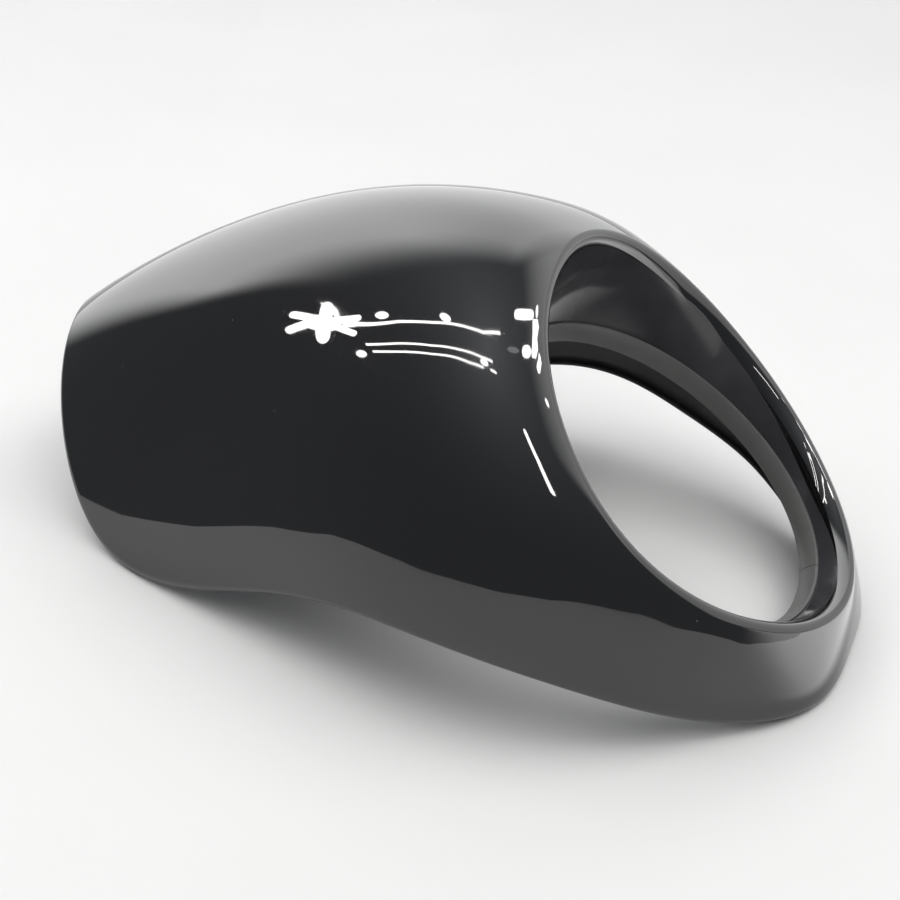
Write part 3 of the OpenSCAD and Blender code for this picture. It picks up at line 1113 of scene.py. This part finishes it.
@dataclass(frozen=True)
class PanelGlow:
    """Light of a big panel in its own X and Z: a slow gradient that fades at soft borders."""

    name: str
    along: tuple[float, float, float, float]
    upward: tuple[float, float, float, float]
    borders: tuple[tuple[float, float, float], ...]

    def material(self) -> bpy.types.Material:
        """Builds the material.

        Returns:
            Emission whose level is along (from, to, low, high) times upward, inside every
            border, which is a direction in degrees, a reach and the width of its fade.
        """
        material, tree = new_material(self.name)
        place = {0: tree.add("ShaderNodeTexCoord").outputs["UV"]}
        place = tree.add("ShaderNodeSeparateXYZ", place).outputs
        levels = [tree.ramp(place[k], *v[:2], v[2:]) for k, v in enumerate((self.along, self.upward))]
        light = tree.math("MULTIPLY", *levels)
        for degrees, reach, fade in self.borders:
            angle = math.radians(degrees)
            x = tree.math("MULTIPLY", place[0], math.cos(angle))
            z = tree.math("MULTIPLY", place[1], math.sin(angle))
            inside = tree.ramp(tree.math("ADD", x, z), reach - fade, reach, (1.0, 0.0))
            light = tree.math("MULTIPLY", light, inside)
        glow = tree.add("ShaderNodeEmission", {"Color": (1.0, 1.0, 1.0, 1), "Strength": light})
        clear = tree.add("ShaderNodeBsdfTransparent")
        tree.surface("ShaderNodeAddShader", {0: glow.outputs[0], 1: clear.outputs[0]})
        return material


@dataclass(frozen=True)
class Panel:
    """Big soft panel that faces the part."""

    azimuth: float
    distance: float
    left: float
    right: float
    low: float
    high: float
    glow: PanelGlow
    flat: bool = False
    lift: float = 0.001

    def build(self) -> bpy.types.Object:
        """Builds the panel upright, or flat just over the floor, with a UV map in metres.

        Returns:
            The panel.
        """
        low, high = self.low, self.high
        corners = [(self.left, low), (self.right, low), (self.right, high), (self.left, high)]
        a = math.radians(self.azimuth)
        out, along = np.array([math.sin(a), -math.cos(a)]), np.array([math.cos(a), math.sin(a)])
        points = np.array([[*(out * self.distance + along * x), z] for x, z in corners])
        if self.flat:
            points = np.array([[x, y, self.lift] for x, y in corners])
        panel = new_object(self.glow.name, new_mesh(self.glow.name, points, [[0, 1, 2, 3]]))
        layer = panel.data.uv_layers.new(name="panel_metres")
        for loop in panel.data.loops:
            layer.data[loop.index].uv = corners[loop.vertex_index]
        panel.data.materials.append(self.glow.material())
        return panel


@dataclass(frozen=True)
class Ribbon:
    """Narrow flat lamp along a few points, with round ends, turned to the part."""

    name: str
    points: tuple[tuple[float, float, float], ...]
    widths: tuple[float, float]
    end_steps: int = 6

    def build(self) -> bpy.types.Object:
        """Builds the ribbon.

        Returns:
            The object, without a finish.
        """
        line = np.array(self.points)
        along = unit(np.gradient(line, axis=0))
        side = unit(np.cross(along, unit(line)))
        half = np.linspace(*self.widths, len(line))[:, None] / 2
        points = [*(line - side * half), *(line + side * half)]
        count = len(line)
        faces = [[i, i + 1, count + i + 1, count + i] for i in range(count - 1)]
        for end, sign in ((0, -1), (count - 1, 1)):
            turns = np.pi * np.arange(1, self.end_steps) / self.end_steps
            on, out = sign * along[end], side[end]
            arc = [line[end] + half[end] * (math.sin(t) * on - math.cos(t) * out) for t in turns]
            faces.append([end, *range(len(points), len(points) + len(arc)), count + end])
            points += arc
        return new_object(self.name, new_mesh(self.name, np.array(points), faces))


@dataclass(frozen=True)
class LampFace:
    """Small flat lamp given by its outline."""

    name: str
    outline: tuple[tuple[float, float, float], ...]
    dim: bool = False

    def build(self) -> bpy.types.Object:
        """Builds the lamp, without a finish."""
        mesh = new_mesh(self.name, np.array(self.outline), [list(range(len(self.outline)))])
        return new_object(self.name, mesh)


@dataclass(frozen=True)
class FlowerLamp:
    """Flat lamp head of six petals round a core, each a bar with round ends."""

    name: str = "flower_lamp"
    centre: tuple[float, float, float] = (-0.0929, 0.1736, 0.2214)
    across: tuple[float, float, float] = (0.000086, -0.000705, 0.000526)
    down: tuple[float, float, float] = (-0.000561, -0.000006, -0.000685)
    bars: tuple[tuple[float, float, float, float, float], ...] = (
        (-11.0, 0.0, 8.0, 1.0, 13.0),
        (3.0, -5.0, 4.5, -15.0, 12.0),
        (-11.0, -3.0, -28.0, -7.5, 8.0),
        (-14.0, 2.0, -32.0, 8.0, 6.5),
        (-0.7, 5.0, -1.5, 12.0, 15.0),
        (12.0, 3.0, 34.5, 13.0, 7.0),
        (12.0, -2.0, 36.0, -6.0, 7.5),
    )
    end_steps: int = 8

    def build(self) -> bpy.types.Object:
        """Builds the lamp head.

        Returns:
            The object, without a finish.
        """
        points, faces = [], []
        turns = np.pi * np.arange(self.end_steps + 1) / self.end_steps
        for x0, y0, x1, y1, width in self.bars:
            along = unit(np.array([x1 - x0, y1 - y0]))
            side = np.array([-along[1], along[0]])
            outline = [np.array(end) + width / 2 * (sign * np.sin(t) * along + sign * np.cos(t) * side)
                       for end, sign in (((x0, y0), -1), ((x1, y1), 1)) for t in turns]
            faces.append(list(range(len(points), len(points) + len(outline))))
            centre, across, down = (np.array(v) for v in (self.centre, self.across, self.down))
            points += [centre + p[0] * across + p[1] * down for p in outline]
        return new_object(self.name, new_mesh(self.name, np.array(points), faces))


RIBBONS = (
    Ribbon("strip_long", (
        (-0.258, 1.31, 0.918), (-0.235, 1.268, 0.98), (-0.179, 1.062, 1.221), (-0.139, 0.785, 1.436),
        (-0.047, 0.305, 1.631), (0.007, 0.079, 1.661), (0.151, -0.188, 1.644)), (0.008, 0.033)),
    Ribbon("strip_middle", (
        (-0.317, 1.261, 0.955), (-0.323, 1.079, 1.171), (-0.335, 0.808, 1.39),
        (-0.306, 0.447, 1.568), (-0.244, 0.067, 1.65), (-0.19, -0.122, 1.655)), (0.012, 0.026)),
    Ribbon("strip_low", (
        (-0.357, 1.239, 0.969), (-0.384, 1.063, 1.167), (-0.408, 0.794, 1.379),
        (-0.398, 0.555, 1.508), (-0.381, 0.264, 1.6), (-0.333, 0.026, 1.638)), (0.013, 0.026)),
    Ribbon("strip_short", ((-0.283, -0.118, 1.644), (-0.258, -0.21, 1.639)), (0.026, 0.026)),
    Ribbon("bar_front", (
        (-0.475, -0.696, 1.451), (-0.613, -0.836, 1.323), (-0.791, -0.946, 1.147)), (0.06, 0.06)),
)

LAMP_FACES = (
    LampFace("spot_far", (
        (-0.155, 1.113, 1.177), (-0.169, 1.124, 1.163), (-0.180, 1.145, 1.139), (-0.186, 1.166, 1.115),
        (-0.184, 1.180, 1.101), (-0.176, 1.182, 1.101), (-0.165, 1.171, 1.116), (-0.153, 1.153, 1.138),
        (-0.145, 1.132, 1.161), (-0.146, 1.116, 1.176))),
    LampFace("spot_high", (
        (-0.074, 0.574, 1.547), (-0.093, 0.602, 1.534), (-0.099, 0.645, 1.514), (-0.090, 0.683, 1.496),
        (-0.072, 0.704, 1.486), (-0.050, 0.700, 1.489), (-0.033, 0.675, 1.502), (-0.026, 0.635, 1.521),
        (-0.032, 0.596, 1.538), (-0.050, 0.572, 1.548))),
    LampFace("spot_low", (
        (-0.369, 1.270, 0.919), (-0.377, 1.278, 0.904), (-0.379, 1.290, 0.884), (-0.373, 1.302, 0.868),
        (-0.363, 1.309, 0.861), (-0.353, 1.309, 0.867), (-0.345, 1.303, 0.881), (-0.342, 1.291, 0.900),
        (-0.347, 1.279, 0.916), (-0.357, 1.271, 0.923))),
    LampFace("spot_near", (
        (-0.270, -0.059, 1.649), (-0.293, -0.029, 1.645), (-0.308, 0.016, 1.642), (-0.308, 0.059, 1.641),
        (-0.294, 0.082, 1.641), (-0.273, 0.079, 1.645), (-0.252, 0.050, 1.649), (-0.238, 0.005, 1.653),
        (-0.236, -0.038, 1.653), (-0.248, -0.062, 1.651))),
    LampFace("bar_wide", (
        (0.665, -0.593, 1.370), (0.634, -0.602, 1.383), (0.601, -0.582, 1.409), (0.522, -0.500, 1.477),
        (0.449, -0.406, 1.534), (0.436, -0.371, 1.548), (0.460, -0.348, 1.546), (0.498, -0.344, 1.534),
        (0.530, -0.368, 1.515), (0.602, -0.456, 1.458), (0.668, -0.539, 1.394), (0.682, -0.569, 1.373))),
    LampFace("bar_thin", (
        (0.676, -0.639, 1.341), (0.679, -0.622, 1.348), (0.705, -0.598, 1.346), (0.737, -0.580, 1.335),
        (0.757, -0.580, 1.323), (0.754, -0.598, 1.316), (0.729, -0.624, 1.318), (0.697, -0.640, 1.328))),
    LampFace("bar_long", (
        (0.629, -0.600, 1.387), (0.684, -0.654, 1.328), (0.658, -0.697, 1.319), (0.577, -0.719, 1.349),
        (0.524, -0.760, 1.349), (0.432, -0.760, 1.387), (0.381, -0.718, 1.429), (0.551, -0.652, 1.398))),
    LampFace("bar_round", (
        (0.407, -0.690, 1.435), (0.365, -0.693, 1.447), (0.319, -0.674, 1.470), (0.266, -0.630, 1.504),
        (0.253, -0.598, 1.521), (0.278, -0.578, 1.524), (0.321, -0.576, 1.514), (0.365, -0.597, 1.493),
        (0.413, -0.640, 1.458), (0.427, -0.670, 1.439))),
    LampFace("bar_side", (
        (0.473, -0.743, 1.381), (0.436, -0.747, 1.393), (0.402, -0.733, 1.414), (0.386, -0.711, 1.431),
        (0.408, -0.695, 1.433), (0.443, -0.690, 1.423), (0.476, -0.704, 1.402), (0.492, -0.726, 1.383))),
    LampFace("bar_low", (
        (0.520, -0.776, 1.340), (0.518, -0.801, 1.325), (0.491, -0.827, 1.320), (0.395, -0.830, 1.356),
        (0.363, -0.812, 1.379), (0.383, -0.785, 1.390), (0.424, -0.782, 1.376), (0.459, -0.786, 1.361))),
    LampFace("bar_sliver", (
        (0.252, -0.942, 1.321), (0.236, -0.930, 1.334), (0.238, -0.914, 1.345), (0.255, -0.903, 1.349),
        (0.277, -0.904, 1.342), (0.293, -0.917, 1.328), (0.294, -0.933, 1.315), (0.277, -0.944, 1.312))),
    LampFace("bar_faint", (
        (0.242, -0.541, 1.545), (0.208, -0.524, 1.558), (0.159, -0.477, 1.582), (0.116, -0.418, 1.604),
        (0.095, -0.370, 1.619), (0.104, -0.353, 1.622), (0.137, -0.373, 1.613), (0.182, -0.422, 1.595),
        (0.225, -0.481, 1.570), (0.248, -0.525, 1.550)), dim=True),
)

SOFT_PANEL = Panel(128.0, 2.0, -2.8, 3.6, 0.0, 4.6, PanelGlow(
    "soft_panel", (-1.6, 0.9, 2.0, 3.2), (-0.2, 1.2, 0.64, 1.0),
    ((180.0, 2.6, 0.8), (90.0, 4.5, 1.9), (56.0, 4.2, 1.6), (0.0, 3.5, 0.7), (-52.0, 1.1, 0.6))))
CHIN_CARD = Panel(0.0, 0.0, -0.12, 0.5, -0.9, -0.2, PanelGlow(
    "chin_card", (-0.1, 0.0, 0.6, 1.4), (-0.9, -0.2, 1.0, 1.0),
    ((180.0, 0.095, 0.06), (90.0, -0.222, 0.02), (-90.0, 0.9, 0.4), (0.0, 0.5, 0.3))), flat=True)
FRONT_PANEL = Panel(35.0, 1.3, -1.5, 1.5, 0.0, 2.7, PanelGlow(
    "front_panel", (-1.5, 1.5, 1.0, 1.0), (0.8, 1.15, 1.0, 1.5),
    ((180.0, 1.5, 0.5), (90.0, 2.6, 1.3), (0.0, 1.5, 0.5))))


@dataclass(frozen=True)
class SoftLight:
    """Area light that faces the part and shows in no reflection."""

    name: str
    azimuth: float
    elevation: float
    distance: float
    width: float
    height: float
    watts: float
    colour: tuple[float, float, float] = (1.0, 0.985, 0.96)

    def build(self) -> None:
        """Builds the light."""
        data = bpy.data.lights.new(self.name, "AREA")
        data.color = self.colour
        data.shape, data.energy = "RECTANGLE", self.watts
        data.size, data.size_y = self.width, self.height
        light = bpy.data.objects.new(self.name, data)
        back = direction(self.azimuth, self.elevation)
        light.rotation_euler = back.to_track_quat("Z", "Y").to_euler()
        light.location = back * self.distance
        light.visible_glossy = False
        bpy.context.scene.collection.objects.link(light)


@dataclass
class Studio:
    """Floor, lamps and surroundings. None of it belongs to the part."""

    floor_lift: float = -0.0002
    floor_radius: float = 14.0
    floor_step: float = 1.5
    floor_reach: tuple[tuple[float, float], ...] = (
        (-180.0, 0.95), (-168.0, 0.45), (-158.0, 0.31), (-151.5, 0.285), (-145.0, 0.31), (-141.3, 0.379),
        (-138.4, 0.404), (-136.5, 0.506), (-131.1, 0.609), (-118.9, 0.784), (-96.4, 0.779), (-76.6, 0.69),
        (-61.6, 0.786), (-48.8, 1.256), (-37.5, 1.325), (-29.4, 0.765), (-21.7, 0.543), (-18.3, 0.442),
        (-14.5, 0.35), (-9.6, 0.344), (-1.1, 0.353), (3.0, 0.356), (12.0, 0.5), (20.3, 0.677), (30.0, 1.0),
        (45.0, 1.5), (60.0, 2.2), (75.0, 3.2), (150.0, 3.2), (165.0, 1.8), (180.0, 0.95),
    )
    world_low: float = 0.2
    world_high: float = 0.9
    world_power: float = 3.1
    world_colour: tuple[float, float, float] = (0.97, 1.0, 1.05)
    soft_lights: tuple[SoftLight, ...] = (
        SoftLight("overhead", 0.0, 90.0, 2.2, 3.0, 3.0, 9.0),
        SoftLight("left_key", -62.0, 60.0, 2.2, 1.4, 1.4, 12.0),
        SoftLight("front_key", 25.0, 60.0, 2.2, 1.4, 1.4, 10.0),
        SoftLight("tail_key", -170.0, 56.0, 2.2, 1.4, 1.4, 9.0),
        SoftLight("rear_fill", 130.0, 38.0, 2.4, 3.4, 2.2, 9.0),
    )
    lamp_glow: Glow = Glow("lamp_glow", (1.0, 0.98, 0.97), 18.0)
    faint_glow: Glow = Glow("faint_glow", (1.0, 1.0, 1.0), 2.0)

    def show_to_reflections(self, lamp: bpy.types.Object) -> None:
        """Shows an object in reflections only, so that it stands in no other light.

        Args:
            lamp: a lamp's face, a panel or the reflected floor.
        """
        for setting in ("visible_camera", "visible_shadow", "visible_diffuse"):
            setattr(lamp, setting, False)

    def floor_disc(
        self, name: str, reach: np.ndarray, lift: float, finish: bpy.types.Material
    ) -> bpy.types.Object:
        """Flat disc of the floor's finish.

        Args:
            name: the object's name.
            reach: distance of its border from the origin, evenly round from azimuth -180.
            lift: its height.
            finish: its material.

        Returns:
            The disc.
        """
        a = np.radians(np.arange(len(reach)) * 360.0 / len(reach) - 180.0)
        ring = np.stack([reach * np.sin(a), -reach * np.cos(a), np.full(len(a), lift)], 1)
        faces = [[i, (i + 1) % len(a), len(a)] for i in range(len(a))]
        floor = new_object(name, new_mesh(name, np.vstack([ring, [0, 0, lift]]), faces))
        floor.data.materials.append(finish)
        return floor

    def build_floor(self) -> None:
        """Wide pale floor, and the near part of it that shows in the gloss."""
        finish = PALE_FLOOR.material()
        azimuth = np.arange(-180.0, 180.0, self.floor_step)
        wide, near = np.full(len(azimuth), self.floor_radius), np.interp(azimuth, *zip(*self.floor_reach))
        self.floor_disc("studio_floor", wide, 2 * self.floor_lift, finish).visible_glossy = False
        self.show_to_reflections(self.floor_disc("reflected_floor", near, self.floor_lift, finish))

    def build_lamps(self) -> None:
        """Panels, strips, spots and the flower, all seen in the gloss."""
        glow, faint = self.lamp_glow.material(), self.faint_glow.material()
        for lamp in (*RIBBONS, *LAMP_FACES, FlowerLamp()):
            piece = lamp.build()
            piece.data.materials.append(faint if getattr(lamp, "dim", False) else glow)
            self.show_to_reflections(piece)
        for panel in (SOFT_PANEL, FRONT_PANEL, CHIN_CARD):
            self.show_to_reflections(panel.build())

    def build_soft_lights(self) -> None:
        """Wide soft lights that leave the reflections alone."""
        for light in self.soft_lights:
            light.build()

    def build_world(self) -> None:
        """Grey surroundings that are lighter overhead."""
        world = bpy.data.worlds.new("studio_world")
        world.use_nodes = True
        tree = TreeBuilder(world.node_tree)
        place = {0: tree.add("ShaderNodeTexCoord").outputs["Generated"]}
        height = tree.add("ShaderNodeSeparateXYZ", place).outputs[2]
        share = tree.math("DIVIDE", tree.math("ARCSINE", tree.math("MAXIMUM", height, 0.0)), math.pi / 2)
        rise = tree.math("MULTIPLY", tree.math("POWER", share, self.world_power), self.world_high - self.world_low)
        level = tree.math("ADD", rise, self.world_low)
        grey = tree.add("ShaderNodeBackground", {"Color": (*self.world_colour, 1), "Strength": level})
        tree.add("ShaderNodeOutputWorld", {"Surface": grey.outputs[0]})
        bpy.context.scene.world = world

    def build(self) -> None:
        """Builds everything round the part."""
        self.build_floor()
        self.build_lamps()
        self.build_soft_lights()
        self.build_world()


@dataclass(frozen=True)
class PhotoCamera:
    """Camera at the photograph's angle, aimed at a point near the lamp opening."""

    azimuth: float = -70.359
    elevation: float = 30.3668
    roll: float = 3.9226
    distance: float = 0.888485
    aim_from_lamp: tuple[float, float, float] = (-0.029608, 0.0951, 0.006964)
    focal_mm: float = 72.961
    sensor_mm: float = 36.0

    def build(self, lamp: LampFrame) -> None:
        """Makes the scene's camera.

        Args:
            lamp: the lamp frame that the camera is aimed by.
        """
        a, roll = math.radians(self.azimuth), math.radians(self.roll)
        back = direction(self.azimuth, self.elevation)
        level = Vector((math.cos(a), math.sin(a), 0.0))
        right = level * math.cos(roll) + back.cross(level) * math.sin(roll)
        data = bpy.data.cameras.new("photo_camera")
        data.sensor_width, data.lens = self.sensor_mm, self.focal_mm
        camera = bpy.data.objects.new("photo_camera", data)
        turn = Matrix((right, back.cross(right), back)).transposed().to_4x4()
        aim = Vector(lamp.centre) + Vector(self.aim_from_lamp)
        camera.matrix_world = Matrix.Translation(aim + back * self.distance) @ turn
        bpy.context.scene.collection.objects.link(camera)
        bpy.context.scene.camera = camera


# Materials and the whole scene

GLOSS = GlossBlack().material()
SATIN = SATIN_INSIDE_PAINTED_LIGHT.material()
# Painted sheen of the bezel well.
WELL = WELL_PAINTED_SHEEN.material()
RUBBER = TRIM_RUBBER.material()
BRASS = TURNED_BRASS.material()


def inserts_from_record(record: dict[str, Any]) -> list[ThreadedInsert]:
    """One insert for each threaded hole.

    Args:
        record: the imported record.

    Returns:
        The inserts, each with its mouth where its CAD node has it.
    """
    found = []
    for mount in record["mounts"]:
        if mount["kind"] == "threaded_hole":
            end, side, _ = mount["name"].split("_")
            outward = -mount["axis"][0]
            low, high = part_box(f"insert_{end}_{side}")
            mouth_x = low[0] if outward > 0 else high[0]
            mouth = np.array([mouth_x, *mount["pos_m"][1:]])
            found.append(ThreadedInsert(f"brass_insert_{end}_{side}", f"insert_{end}_{side}", mouth, outward))
    return found


def report(piece: bpy.types.Object) -> None:
    """Logs a piece and its triangle count."""
    piece.data.calc_loop_triangles()
    LOG.info("%s: %d triangles", piece.name, len(piece.data.loop_triangles))


def main() -> None:
    """Builds the camera, the pieces and the studio in order."""
    logging.basicConfig(level=logging.INFO, format="%(message)s")
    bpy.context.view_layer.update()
    lamp = LampFrame.from_record(frame["record"])
    PhotoCamera().build(lamp)
    shape = SkinShape(lamp.opening_r)
    for builder in (CowlShell(lamp, shape), EdgeTrim(lamp, shape), *inserts_from_record(frame["record"])):
        report(builder.build())
    Studio().build()
    bpy.context.scene.view_settings.view_transform = "Standard"


if __name__ == "__main__":
    main()
